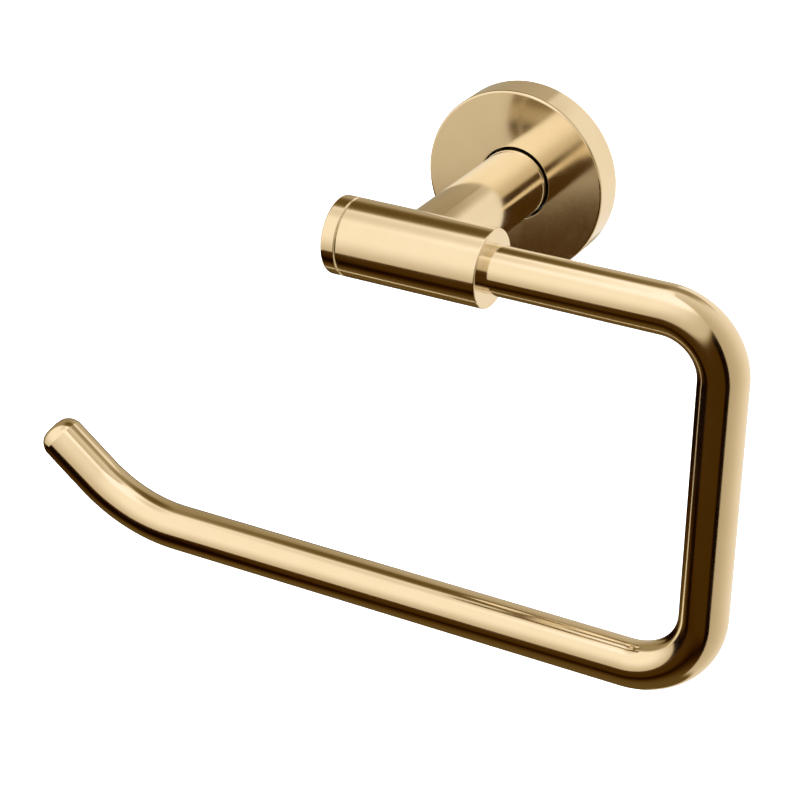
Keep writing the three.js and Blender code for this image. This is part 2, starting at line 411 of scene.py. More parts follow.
def cut_away(piece: bpy.types.Object, cutters: Iterable[bpy.types.Object]) -> None:
    """Subtracts other objects from a piece, applies the result and removes them.

    Args:
        piece: The object to cut.
        cutters: The objects to subtract.
    """
    for cutter in cutters:
        cut = piece.modifiers.new("cut", "BOOLEAN")
        cut.operation = "DIFFERENCE"
        cut.solver = "EXACT"
        cut.object = cutter
        evaluated = piece.evaluated_get(bpy.context.evaluated_depsgraph_get())
        mesh = bpy.data.meshes.new_from_object(evaluated)
        piece.modifiers.clear()
        old = piece.data
        piece.data = mesh
        mesh.name = old.name
        bpy.data.meshes.remove(old)
        bpy.data.objects.remove(cutter)
    shade(piece.data)


def join_mesh(piece: bpy.types.Object, other: bpy.types.Object) -> None:
    """Adds another object's mesh to a piece and removes the other object.

    Args:
        piece: The object that gets the mesh.
        other: The object that gives it.
    """
    mesh_data = bmesh.new()
    mesh_data.from_mesh(piece.data)
    mesh_data.from_mesh(other.data)
    mesh_data.to_mesh(piece.data)
    mesh_data.free()
    bpy.data.objects.remove(other)


def dress(
    piece: bpy.types.Object, body: Body, slot: Slot, material: bpy.types.Material, *nodes: str
) -> None:
    """Gives a piece its material and its body, and hides the CAD nodes that it stands for.

    Args:
        piece: The object.
        body: The body it moves with.
        slot: The record's material slot; not used.
        material: The finish.
        nodes: The CAD nodes it replaces.
    """
    piece.data.materials.clear()
    piece.data.materials.append(material)
    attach(piece, body.value)
    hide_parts(*nodes)
    log.info("%s: %d faces on %s", piece.name, len(piece.data.polygons), body.value)


# ------------------------------------------------------------------ shader tools


class NodeTree:
    """A small helper that adds nodes to a node tree and links them."""

    def __init__(self, tree: bpy.types.NodeTree) -> None:
        """Keeps the tree that the nodes go into."""
        self.tree = tree

    def add(self, kind: str, **settings: object) -> bpy.types.Node:
        """Adds a node and sets its properties.

        Args:
            kind: The node's type.
            settings: The properties and their values.

        Returns:
            The node.
        """
        node = self.tree.nodes.new(kind)
        for key, value in settings.items():
            setattr(node, key, value)
        return node

    def link(self, source: bpy.types.NodeSocket, target: bpy.types.NodeSocket) -> None:
        """Links an output to an input."""
        self.tree.links.new(source, target)

    def feed(self, node: bpy.types.Node, **values: object) -> None:
        """Links or sets a node's inputs by name, with underscores for spaces.

        Args:
            node: The node.
            values: An output to link or a constant, for each input.
        """
        for key, value in values.items():
            self.put(node.inputs[key.replace("_", " ")], value)

    def put(self, target: bpy.types.NodeSocket, value: object) -> None:
        """Links an output to an input, or sets the input to a constant.

        Args:
            target: The input.
            value: The output or the constant.
        """
        if isinstance(value, bpy.types.NodeSocket):
            self.link(value, target)
        else:
            target.default_value = value

    def math(self, operation: str, a: object, b: object) -> bpy.types.NodeSocket:
        """Adds a Math node.

        Args:
            operation: What it does.
            a: The first number.
            b: The second number.

        Returns:
            The result.
        """
        node = self.add("ShaderNodeMath", operation=operation)
        self.put(node.inputs[0], a)
        self.put(node.inputs[1], b)
        return node.outputs[0]

    def vector_math(
        self, operation: str, a: object, b: Optional[object] = None, output: str = "Vector"
    ) -> bpy.types.NodeSocket:
        """Adds a Vector Math node.

        Args:
            operation: What it does.
            a: The first vector.
            b: The second vector, if the operation takes one.
            output: The output that holds the result.

        Returns:
            The result.
        """
        node = self.add("ShaderNodeVectorMath", operation=operation)
        self.put(node.inputs[0], a)
        if b is not None:
            self.put(node.inputs[1], b)
        return node.outputs[output]

    def blend(self, factor: object, a: object, b: object) -> bpy.types.NodeSocket:
        """Mixes two numbers.

        Args:
            factor: How much of the second there is.
            a: The first number.
            b: The second number.

        Returns:
            The mixed number.
        """
        node = self.add("ShaderNodeMix", data_type="FLOAT")
        for place, value in ((0, factor), (2, a), (3, b)):
            self.put(node.inputs[place], value)
        return node.outputs[0]

    def blend_colour(self, factor: object, a: object, b: object) -> bpy.types.NodeSocket:
        """Mixes two colours.

        Args:
            factor: How much of the second there is.
            a: The first colour.
            b: The second colour.

        Returns:
            The mixed colour.
        """
        node = self.add("ShaderNodeMix", data_type="RGBA")
        for place, value in ((0, factor), (6, a), (7, b)):
            self.put(node.inputs[place], value)
        return node.outputs[2]

    def ramp(
        self, value: object, low: object, high: object, to_low: float = 0.0, to_high: float = 1.0
    ) -> bpy.types.NodeSocket:
        """Eases a value from one range to another, clamped.

        Args:
            value: The value.
            low: The low end of its range.
            high: The high end of its range.
            to_low: The result at the low end.
            to_high: The result at the high end.

        Returns:
            The result.
        """
        node = self.add("ShaderNodeMapRange", interpolation_type="SMOOTHSTEP")
        self.feed(node, Value=value, From_Min=low, From_Max=high, To_Min=to_low, To_Max=to_high)
        return node.outputs["Result"]

    def noise(
        self, vector: object, scale: object, detail: float, distortion: float = 0.0
    ) -> bpy.types.NodeSocket:
        """Adds a noise texture.

        Args:
            vector: Where it is read.
            scale: Its scale, for a place in metres.
            detail: Its number of finer layers.
            distortion: How much it is distorted.

        Returns:
            The noise's value.
        """
        node = self.add("ShaderNodeTexNoise")
        self.feed(node, Vector=vector, Scale=scale, Detail=detail, Distortion=distortion)
        return node.outputs[0]

    def bump(self, height: object, distance: float) -> bpy.types.NodeSocket:
        """Adds a Bump node.

        Args:
            height: The surface's height.
            distance: What a height of one is, in metres.

        Returns:
            The bumped normal.
        """
        node = self.add("ShaderNodeBump")
        self.feed(node, Height=height, Distance=distance)
        return node.outputs["Normal"]

    def group(self, group: bpy.types.NodeTree, **values: object) -> bpy.types.Node:
        """Places a node group and feeds its inputs.

        Args:
            group: The node group.
            values: Its inputs by name, with underscores for spaces.

        Returns:
            The group's node.
        """
        node = self.add("ShaderNodeGroup", node_tree=group)
        self.feed(node, **values)
        return node


VECTOR = "NodeSocketVector"
FLOAT = "NodeSocketFloat"


def new_group(
    name: str, inputs: Sequence[tuple[str, str, object]], outputs: Sequence[str]
) -> tuple[bpy.types.NodeTree, NodeTree, bpy.types.Node, bpy.types.Node]:
    """Makes a shader node group with named sockets.

    Args:
        name: The group's name.
        inputs: Name, socket type and default of each input.
        outputs: The name of each output, all of them numbers.

    Returns:
        The group, its tools, its input node and its output node.
    """
    group = bpy.data.node_groups.new(name, "ShaderNodeTree")
    for label, kind, default in inputs:
        socket = group.interface.new_socket(name=label, in_out="INPUT", socket_type=kind)
        if default is not None:
            socket.default_value = default
    for label in outputs:
        group.interface.new_socket(name=label, in_out="OUTPUT", socket_type=FLOAT)
    tools = NodeTree(group)
    return group, tools, tools.add("NodeGroupInput"), tools.add("NodeGroupOutput")


class Effects:
    """The shader node groups that several finishes share, each built once."""

    def __init__(self) -> None:
        """Builds every group."""
        self.polish = self.build_polish()
        self.handling = self.build_handling()
        self.edge_wear = self.build_edge_wear()
        self.dust = self.build_dust()

    def build_polish(self) -> bpy.types.NodeTree:
        """Builds the fine lines that buffing leaves, drawn out along one direction.

        Returns:
            The node group.
        """
        group, tools, given, result = new_group(
            "polish lines",
            [("Vector", VECTOR, None), ("Stretch", VECTOR, (1.0, 1.0, 1.0)),
             ("Fine Scale", FLOAT, 9000.0), ("Roughness Range", FLOAT, 0.06)],
            ["Height", "Roughness Shift"],
        )
        drawn = tools.vector_math("MULTIPLY", given.outputs["Vector"], given.outputs["Stretch"])
        fine = tools.noise(drawn, given.outputs["Fine Scale"], detail=3.0)
        centred = tools.math("SUBTRACT", fine, 0.5)
        shift = tools.math("MULTIPLY", centred, given.outputs["Roughness Range"])
        tools.feed(result, Height=centred, Roughness_Shift=shift)
        return group

    def build_handling(self) -> bpy.types.NodeTree:
        """Builds the faint cloudy haze that hands and cloths leave on polished metal.

        Returns:
            The node group.
        """
        group, tools, given, result = new_group(
            "handling haze",
            [("Vector", VECTOR, None), ("Patch Scale", FLOAT, 60.0), ("Amount", FLOAT, 0.04)],
            ["Roughness Shift"],
        )
        clouds = tools.noise(
            given.outputs["Vector"], given.outputs["Patch Scale"], detail=4.0, distortion=0.6
        )
        mask = tools.ramp(clouds, 0.42, 0.7)
        tools.feed(result, Roughness_Shift=tools.math("MULTIPLY", mask, given.outputs["Amount"]))
        return group

    def build_edge_wear(self) -> bpy.types.NodeTree:
        """Builds a mask that is strong on outer edges, broken up by noise.

        Returns:
            The node group.
        """
        group, tools, given, result = new_group(
            "edge wear",
            [("Vector", VECTOR, None), ("Low", FLOAT, 0.57), ("High", FLOAT, 0.68)],
            ["Mask"],
        )
        pointed = tools.add("ShaderNodeNewGeometry").outputs["Pointiness"]
        edges = tools.ramp(pointed, given.outputs["Low"], given.outputs["High"])
        noise = tools.noise(given.outputs["Vector"], 1800.0, detail=3.0)
        broken = tools.ramp(noise, 0.35, 0.6, to_low=0.25)
        tools.feed(result, Mask=tools.math("MULTIPLY", edges, broken))
        return group

    def build_dust(self) -> bpy.types.NodeTree:
        """Builds a mask of fine dust on faces that look up.

        Returns:
            The node group.
        """
        group, tools, given, result = new_group(
            "dust", [("Vector", VECTOR, None), ("Amount", FLOAT, 0.1)], ["Mask"]
        )
        parts = tools.add("ShaderNodeSeparateXYZ")
        tools.link(tools.add("ShaderNodeNewGeometry").outputs["Normal"], parts.inputs[0])
        upward = tools.ramp(parts.outputs["Z"], 0.3, 1.0)
        specks = tools.ramp(tools.noise(given.outputs["Vector"], 2600.0, detail=4.0), 0.5, 0.75)
        settled = tools.math("MULTIPLY", upward, specks)
        tools.feed(result, Mask=tools.math("MULTIPLY", settled, given.outputs["Amount"]))
        return group


def new_material(
    name: str,
) -> tuple[bpy.types.Material, NodeTree, bpy.types.Node, bpy.types.NodeSocket]:
    """Makes a material with an empty Principled shader.

    Args:
        name: The material's name.

    Returns:
        The material, its tools, its Principled node and the object coordinates.
    """
    material = bpy.data.materials.new(name)
    material.use_nodes = True
    tools = NodeTree(material.node_tree)
    shader = material.node_tree.nodes["Principled BSDF"]
    return material, tools, shader, tools.add("ShaderNodeTexCoord").outputs["Object"]


# ------------------------------------------------------------------ finishes


@dataclass(frozen=True)
class GoldFinish:
    """Warm gold plating, polished, with fine buffing lines along one direction."""

    name: str
    buffed_along: Direction
    roughness: float = 0.1
    worn_roughness: float = 0.08
    line_scale: float = 9000.0
    line_height: float = 0.0000006
    haze_scale: float = 70.0
    haze: float = 0.035
    tone_scale: float = 140.0
    colour: Colour = (0.95, 0.755, 0.485, 1.0)
    worn_colour: Colour = (0.97, 0.80, 0.56, 1.0)
    deep_colour: Colour = (0.93, 0.735, 0.465, 1.0)
    # painted reflection: the paler colour that gold takes only where it is seen in a reflection
    painted_reflection_colour: Colour = (0.97, 0.90, 0.76, 1.0)

    def build(self, effects: Effects) -> bpy.types.Material:
        """Builds the material.

        Args:
            effects: The shared node groups.

        Returns:
            The material.
        """
        material, tools, shader, place = new_material(self.name)
        lines = tools.group(
            effects.polish, Vector=place, Stretch=self.buffed_along, Fine_Scale=self.line_scale
        )
        haze = tools.group(
            effects.handling, Vector=place, Patch_Scale=self.haze_scale, Amount=self.haze
        )
        wear = tools.group(effects.edge_wear, Vector=place).outputs["Mask"]
        tone = tools.ramp(tools.noise(place, self.tone_scale, detail=3.0), 0.3, 0.7)
        plated = tools.blend_colour(tone, self.deep_colour, self.colour)
        worn = tools.blend_colour(wear, plated, self.worn_colour)
        # painted reflection: gold seen in a reflection takes a paler colour than gold looked at
        # directly, which lightens the gold mirrored in other pieces
        painted_reflection_switch = tools.add("ShaderNodeLightPath").outputs["Is Glossy Ray"]
        rough = tools.math("ADD", self.roughness, lines.outputs["Roughness Shift"])
        rough = tools.math("ADD", rough, haze.outputs["Roughness Shift"])
        rough = tools.math("ADD", rough, tools.math("MULTIPLY", wear, self.worn_roughness))
        tools.feed(
            shader,
            Base_Color=tools.blend_colour(painted_reflection_switch, worn, self.painted_reflection_colour),
            Roughness=rough,
            Metallic=1.0,
            Normal=tools.bump(lines.outputs["Height"], self.line_height),
        )
        return material


@dataclass(frozen=True)
class SteelFinish:
    """Turned or plated steel with visible tool lines."""

    name: str
    colour: Colour
    roughness: float
    dark_share: float = 0.7
    worn_colour: Colour = (0.8, 0.8, 0.8, 1.0)
    dusty_colour: Colour = (0.5, 0.48, 0.44, 1.0)
    line_scale: float = 3000.0
    line_height: float = 0.000003
    spangle_scale: float = 500.0
    dust: float = 0.2

    def build(self, effects: Effects) -> bpy.types.Material:
        """Builds the material.

        Args:
            effects: The shared node groups.

        Returns:
            The material.
        """
        material, tools, shader, place = new_material(self.name)
        lines = tools.group(effects.polish, Vector=place, Fine_Scale=self.line_scale)
        wear = tools.group(effects.edge_wear, Vector=place).outputs["Mask"]
        dust = tools.group(effects.dust, Vector=place, Amount=self.dust).outputs["Mask"]
        spangle = tools.noise(place, self.spangle_scale, detail=3.0)
        dark = tuple(self.dark_share * c for c in self.colour[:3]) + (1.0,)
        plated = tools.blend_colour(
            tools.ramp(spangle, 0.3, 0.7, to_low=0.85), dark, self.colour
        )
        worn = tools.blend_colour(wear, plated, self.worn_colour)
        rough = tools.math("ADD", self.roughness, lines.outputs["Roughness Shift"])
        tools.feed(
            shader,
            Base_Color=tools.blend_colour(dust, worn, self.dusty_colour),
            Roughness=tools.math("ADD", rough, dust),
            Metallic=1.0,
            Normal=tools.bump(lines.outputs["Height"], self.line_height),
        )
        return material


@dataclass(frozen=True)
class MouldedFinish:
    """Rubber or plastic with a fine moulded grain."""

    name: str
    colour: Colour
    dusty_colour: Colour
    roughness: float
    grain_height: float
    grain_scale: float = 6000.0
    haze_scale: float = 200.0
    haze: float = 0.12
    dust: float = 0.3

    def build(self, effects: Effects) -> bpy.types.Material:
        """Builds the material.

        Args:
            effects: The shared node groups.

        Returns:
            The material.
        """
        material, tools, shader, place = new_material(self.name)
        grain = tools.noise(place, self.grain_scale, detail=3.0)
        haze = tools.group(
            effects.handling, Vector=place, Patch_Scale=self.haze_scale, Amount=self.haze
        )
        dust = tools.group(effects.dust, Vector=place, Amount=self.dust).outputs["Mask"]
        tools.feed(
            shader,
            Base_Color=tools.blend_colour(dust, self.colour, self.dusty_colour),
            Roughness=tools.math("ADD", self.roughness, haze.outputs["Roughness Shift"]),
            Normal=tools.bump(grain, self.grain_height),
        )
        return material


class Finishes:
    """The object's finishes."""

    def __init__(self) -> None:
        """Builds each material once."""
        effects = Effects()
        self.gold_turned = GoldFinish(
            "gold, polished round the wall axis", (0.35, 1.0, 0.35), 0.11
        ).build(effects)
        self.gold_barrel = GoldFinish(
            "gold, buffed along the barrel", (0.12, 1.0, 1.0)
        ).build(effects)
        self.gold_post = GoldFinish("gold, buffed along the post", (1.0, 0.12, 1.0)).build(effects)
        self.gold_arm = GoldFinish("gold, buffed along the arm", (0.3, 1.0, 0.3)).build(effects)
        self.plated = SteelFinish("zinc-plated steel", (0.52, 0.52, 0.49, 1.0), 0.38).build(effects)
        self.steel = SteelFinish(
            "turned stainless steel", (0.6, 0.6, 0.61, 1.0), 0.26
        ).build(effects)
        self.rubber = MouldedFinish(
            "black rubber", (0.012, 0.011, 0.01, 1.0), (0.08, 0.075, 0.07, 1.0), 0.55, 0.000004
        ).build(effects)
        self.plastic = MouldedFinish(
            "natural white acetal", (0.78, 0.76, 0.7, 1.0), (0.6, 0.58, 0.52, 1.0), 0.38, 0.000002
        ).build(effects)


# ------------------------------------------------------------------ wall side


@dataclass
class WallFixing:
    """The plate on the wall and the spigot riveted in it."""

    plate: NodeBox = box_of("wall_plate")
    spigot: NodeBox = box_of("plate_spigot")
    plate_rim_rounding: float = 0.5 * MM
    plate_back_rounding: float = 0.25 * MM
    rivet_radius: float = 3 * MM
    rivet_rounding: float = 0.3 * MM
    rivet_clearance: float = 0.05 * MM
    rivet_hole_rounding: float = 0.1 * MM
    rivet_hole_back_rounding: float = 0.15 * MM
    peg_rounding: float = 0.6 * MM
    peg_foot_rounding: float = 0.2 * MM
    flat_distance: float = 4 * MM
    flat_end_gap: float = 1 * MM
    flat_cut_half: float = 6 * MM
    flat_cut_reach: float = 9 * MM
    screw_hole_offset: float = 11.9 * MM
    screw_hole_radius: float = 2.3 * MM
    screw_sink_radius: float = 3.9 * MM

    def build(self, finishes: Finishes) -> None:
        """Builds and dresses the plate and the spigot.

        Args:
            finishes: The object's finishes.
        """
        radius = self.plate.size.x / 2
        front = self.plate.low.y
        hole = self.rivet_radius + self.rivet_clearance
        plate = lathed("wall_plate_pressed", [
            Corner(front, hole, self.rivet_hole_rounding),
            *across_face(front, hole, radius),
            Corner(front, radius, self.plate_rim_rounding),
            Corner(0.0, radius, self.plate_back_rounding),
            *across_face(0.0, radius, hole),
            Corner(0.0, hole, self.rivet_hole_back_rounding),
        ], True, Axis.WALL, Vector(), sides=96)
        cut_away(plate, [self.screw_cutter(front, side) for side in (1, -1)])
        dress(plate, Body.HOLDER, Slot.PLATED_STEEL, finishes.plated, "wall_plate")

        tip = self.spigot.low.y
        peg_radius = self.spigot.size.x / 2
        peg = lathed("plate_spigot_turned", [
            Corner(tip, 0.0),
            Corner(tip, peg_radius, self.peg_rounding),
            Corner(front, peg_radius, self.peg_foot_rounding),
            Corner(front, self.rivet_radius),
            Corner(0.0, self.rivet_radius, self.rivet_rounding),
            Corner(0.0, 0.0),
        ], False, Axis.WALL, Vector(), sides=64)
        cut_away(peg, [box_cutter(
            (-self.flat_cut_half, tip - OVERCUT, -self.flat_cut_reach),
            (self.flat_cut_half, front - self.flat_end_gap, -self.flat_distance),
        )])
        dress(peg, Body.HOLDER, Slot.PLATED_STEEL, finishes.plated, "plate_spigot")

    def screw_cutter(self, front: float, side: int) -> bpy.types.Object:
        """Makes the countersunk cutter of one wall screw's hole.

        Args:
            front: The place of the plate's front face.
            side: 1 for the upper hole, -1 for the lower one.

        Returns:
            The new object.
        """
        sink = self.screw_sink_radius - self.screw_hole_radius
        profile = [
            (front - OVERCUT, 0.0),
            (front - OVERCUT, self.screw_sink_radius),
            (front, self.screw_sink_radius),
            (front + sink, self.screw_hole_radius),
            (OVERCUT, self.screw_hole_radius),
            (OVERCUT, 0.0),
        ]
        centre = Vector((0, 0, side * self.screw_hole_offset))
        return turned("screw_cutter", profile, False, Axis.WALL, centre, sides=48)


@dataclass
class Rosette:
    """The round cup that hides the fixing, and the rubber ring that grips the post."""

    cup: NodeBox = box_of("rosette_cover")
    grip: NodeBox = box_of("rosette_grip_ring")
    wall: float = 1.5 * MM
    rim_rounding: float = 0.45 * MM
    back_rounding: float = 0.25 * MM
    back_inner_rounding: float = 0.15 * MM
    inside_fillet: float = 0.6 * MM
    hole_radius: float = 7.9 * MM
    hole_rounding: float = 0.15 * MM
    collar_radius: float = 11.5 * MM
    collar_back: float = 3.3 * MM
    collar_fillet: float = 0.3 * MM
    collar_rounding: float = 0.25 * MM
    collar_hole_rounding: float = 0.1 * MM
    ring_lip: float = 0.4 * MM
    ring_groove_width: float = 2 * MM
    ring_groove_depth: float = 1.5 * MM

    def build(self, finishes: Finishes) -> None:
        """Builds and dresses the cover and its ring.

        Args:
            finishes: The object's finishes.
        """
        radius = self.cup.size.x / 2
        front = self.cup.low.y
        inside = radius - self.wall
        ceiling = front + self.wall
        groove_back = -self.collar_back - self.ring_lip
        groove_front = groove_back - self.ring_groove_width
        groove_radius = self.hole_radius + self.ring_groove_depth
        cover = lathed("rosette_cover_polished", [
            Corner(front, self.hole_radius, self.hole_rounding),
            *across_face(front, self.hole_radius, radius),
            Corner(front, radius, self.rim_rounding),
            Corner(0.0, radius, self.back_rounding),
            Corner(0.0, inside, self.back_inner_rounding),
            Corner(ceiling, inside, self.inside_fillet),
            Corner(ceiling, self.collar_radius, self.collar_fillet),
            Corner(-self.collar_back, self.collar_radius, self.collar_rounding),
            Corner(-self.collar_back, self.hole_radius, self.collar_hole_rounding),
            Corner(groove_back, self.hole_radius),
            Corner(groove_back, groove_radius),
            Corner(groove_front, groove_radius),
            Corner(groove_front, self.hole_radius),
        ], True, Axis.WALL, Vector(), sides=192)
        dress(cover, Body.HOLDER, Slot.GOLD, finishes.gold_turned, "rosette_cover")

        section = self.grip.size.y / 2
        middle = self.grip.size.x / 2 - section
        ring = rubber_ring(
            "rosette_grip_ring_rubber", middle, section, Axis.WALL, self.grip.centre
        )
        dress(ring, Body.HOLDER, Slot.RUBBER, finishes.rubber, "rosette_grip_ring")


@dataclass
class Post:
    """The round bar that carries the barrel."""

    bar: NodeBox = box_of("post")
    barrel: NodeBox = box_of("barrel")
    back_rounding: float = 0.35 * MM
    back_rounding_steps: int = 4
    bore_radius: float = 5.15 * MM
    bore_depth: float = 14.5 * MM
    collar_end: float = -8.7 * MM
    collar_lead: float = 0.1 * MM
    collar_tail: float = 0.5 * MM
    collar_step: float = 0.1 * MM
    collar_step_rounding: float = 0.3
    saddle_sink: float = 0.02 * MM
    saddle_rings: tuple[float, ...] = (0.94, 0.86, 0.77, 0.68, 0.59, 0.5, 0.41, 0.33)
    screw_bore_radius: float = 2.7 * MM
    screw_bore_end: float = -28.1 * MM
    grub_bore_radius: float = 1.6 * MM
    grub_place: float = -5.6 * MM
    sides: int = 128

    def build(self, finishes: Finishes) -> None:
        """Builds and dresses the post, coped to sit on the barrel.

        Args:
            finishes: The object's finishes.
        """
        radius = self.bar.size.x / 2
        back = self.bar.high.y
        saddle_radius = self.barrel.size.z / 2 - self.saddle_sink
        axis_y = self.barrel.centre.y
        mesh_data = bmesh.new()

        def ring_at(ring_radius: float, along: Optional[float] = None) -> Ring:
            """Makes one ring; without a place along the axis it lies on the barrel.

            Args:
                ring_radius: The ring's radius.
                along: Its place along the post.

            Returns:
                The ring.
            """
            def point(angle: float) -> Vector:
                """Places one point of the ring.

                Args:
                    angle: The point's angle, in radians.

                Returns:
                    The point.
                """
                x, z = ring_radius * math.cos(angle), ring_radius * math.sin(angle)
                saddle = axis_y + math.sqrt(saddle_radius ** 2 - z * z)
                return Vector((x, saddle if along is None else along, z))

            return add_ring(mesh_data, self.sides, point)

        rings = [ring_at(self.bore_radius, back - self.bore_depth), ring_at(self.bore_radius, back)]
        edge = self.back_rounding
        for i in range(self.back_rounding_steps + 1):
            turn = math.pi / 2 * i / self.back_rounding_steps
            rings.append(ring_at(
                radius - edge + edge * math.sin(turn), back - edge + edge * math.cos(turn)
            ))
        neck = radius - self.collar_step
        slope = self.collar_step_rounding * self.collar_step
        rings += [
            ring_at(radius, self.collar_end + self.collar_lead),
            ring_at(radius - slope, self.collar_end),
            ring_at(neck, self.collar_end - self.collar_step + slope),
            ring_at(neck, self.collar_end - self.collar_tail),
            ring_at(neck),
            *(ring_at(neck * share) for share in self.saddle_rings),
        ]
        skin_bar(mesh_data, rings)
        piece = finish_mesh("post_polished", mesh_data)
        grub_bore = (-radius - OVERCUT, -self.bore_radius + OVERCUT)
        cut_away(piece, [
            bore_cutter(self.screw_bore_radius, (axis_y, self.screw_bore_end), Axis.WALL, Vector()),
            bore_cutter(self.grub_bore_radius, grub_bore, Axis.UP, Vector((0, self.grub_place, 0))),
        ])
        dress(piece, Body.HOLDER, Slot.GOLD, finishes.gold_post, "post")


# ------------------------------------------------------------------ pivot


@dataclass
class Pivot:
    """The barrel with its cap, bushes and ring."""

    tube: NodeBox = box_of("barrel")
    cap: NodeBox = box_of("end_cap")
    ring: NodeBox = box_of("cap_o_ring")
    sleeves: tuple[str, ...] = ("bush_left", "bush_right")
    bore_radius: float = 6 * MM
    bore_rounding: float = 0.1 * MM
    bore_end: float = 12.6 * MM
    arm_hole_radius: float = 5.02 * MM
    end_rounding: float = 0.3 * MM
    groove_bevel: float = 0.28 * MM
    groove_edge_rounding: float = 0.12 * MM
    groove_floor_rounding: float = 0.05 * MM
    groove_floor_gap: float = 0.05 * MM
    screw_hole_radius: float = 2.7 * MM
    screw_seat_radius: float = 4.6 * MM
    screw_seat_depth: float = 0.02 * MM
    cap_rounding: float = 0.6 * MM
    spigot_clearance: float = 0.1 * MM
    spigot_rounding: float = 0.15 * MM
    ring_groove_depth: float = 1.2 * MM
    ring_groove_start: float = 0.5 * MM
    ring_groove_end: float = 2 * MM
    cup_radius: float = 3.9 * MM
    cup_rounding: float = 0.1 * MM
    cup_floor: float = 1.7 * MM
    sleeve_bore_radius: float = 4.25 * MM
    sleeve_inner_lead: float = 0.25 * MM
    sleeve_outer_lead: float = 0.35 * MM
    sides: int = 160

    def build(self, finishes: Finishes) -> None:
        """Builds and dresses every fixed piece of the pivot.

        Args:
            finishes: The object's finishes.
        """
        origin = Vector((0, self.tube.centre.y, 0))
        radius = self.tube.size.z / 2
        left, right = self.tube.low.x, self.tube.high.x
        tube = lathed("barrel_polished", [
            Corner(left, self.bore_radius, self.bore_rounding),
            Corner(left, radius - self.groove_bevel, self.groove_floor_rounding),
            Corner(left + self.groove_bevel, radius, self.groove_edge_rounding),
            Corner(right, radius, self.end_rounding),
            Corner(right, self.arm_hole_radius),
            Corner(self.bore_end, self.arm_hole_radius),
            Corner(self.bore_end, self.bore_radius),
        ], True, Axis.BARREL, origin, self.sides)
        screw_hole = (origin.y, origin.y + radius + OVERCUT)
        seat = (origin.y, origin.y + self.bore_radius + self.screw_seat_depth)
        cut_away(tube, [
            bore_cutter(self.screw_hole_radius, screw_hole, Axis.WALL, Vector()),
            bore_cutter(self.screw_seat_radius, seat, Axis.WALL, Vector()),
        ])
        dress(tube, Body.HOLDER, Slot.GOLD, finishes.gold_barrel, "barrel")
        self.build_cap(origin, radius, left, finishes)
        self.build_sleeves(origin, finishes)

    def build_cap(self, origin: Vector, radius: float, joint: float, finishes: Finishes) -> None:
        """Builds the end cap with its ring seat, and its rubber ring.

        Args:
            origin: The point on the barrel's axis where along is zero.
            radius: The barrel's radius.
            joint: The place of the barrel's left end.
            finishes: The object's finishes.
        """
        left = self.cap.low.x
        spigot_end = self.cap.high.x
        right = joint - self.groove_floor_gap
        spigot = self.bore_radius - self.spigot_clearance
        seat = spigot - self.ring_groove_depth
        cap = lathed("end_cap_polished", [
            Corner(left, 0.0),
            Corner(left, radius, self.cap_rounding),
            Corner(right - self.groove_bevel, radius, self.groove_edge_rounding),
            Corner(right, radius - self.groove_bevel, self.groove_floor_rounding),
            Corner(right, spigot),
            Corner(right + self.ring_groove_start, spigot),
            Corner(right + self.ring_groove_start, seat),
            Corner(right + self.ring_groove_end, seat),
            Corner(right + self.ring_groove_end, spigot),
            Corner(spigot_end, spigot, self.spigot_rounding),
            Corner(spigot_end, self.cup_radius, self.cup_rounding),
            Corner(left + self.cup_floor, self.cup_radius),
            Corner(left + self.cup_floor, 0.0),
        ], False, Axis.BARREL, origin, self.sides)
        dress(cap, Body.HOLDER, Slot.GOLD, finishes.gold_barrel, "end_cap")

        section = self.ring.size.x / 2
        centre = Vector((self.ring.centre.x, origin.y, 0))
        middle = self.ring.size.z / 2 - section
        ring = rubber_ring("cap_o_ring_rubber", middle, section, Axis.BARREL, centre)
        dress(ring, Body.HOLDER, Slot.RUBBER, finishes.rubber, "cap_o_ring")

    def build_sleeves(self, origin: Vector, finishes: Finishes) -> None:
        """Builds the two plastic bushes, each with a lead-in at both ends.

        Args:
            origin: The point on the barrel's axis where along is zero.
            finishes: The object's finishes.
        """
        for node in self.sleeves:
            box = NodeBox.of(node)
            outer = box.size.z / 2
            sleeve = lathed(node + "_moulded", [
                Corner(box.low.x, self.sleeve_bore_radius, self.sleeve_inner_lead),
                Corner(box.low.x, outer, self.sleeve_outer_lead),
                Corner(box.high.x, outer, self.sleeve_outer_lead),
                Corner(box.high.x, self.sleeve_bore_radius, self.sleeve_inner_lead),
            ], True, Axis.BARREL, origin, sides=96)
            dress(sleeve, Body.HOLDER, Slot.PLASTIC, finishes.plastic, node)


# ------------------------------------------------------------------ arm


@dataclass(frozen=True)
class Station:
    """One place on the rod's centreline, in the plane of the arm."""

    x: float
    z: float
    heading: float
    radius: float


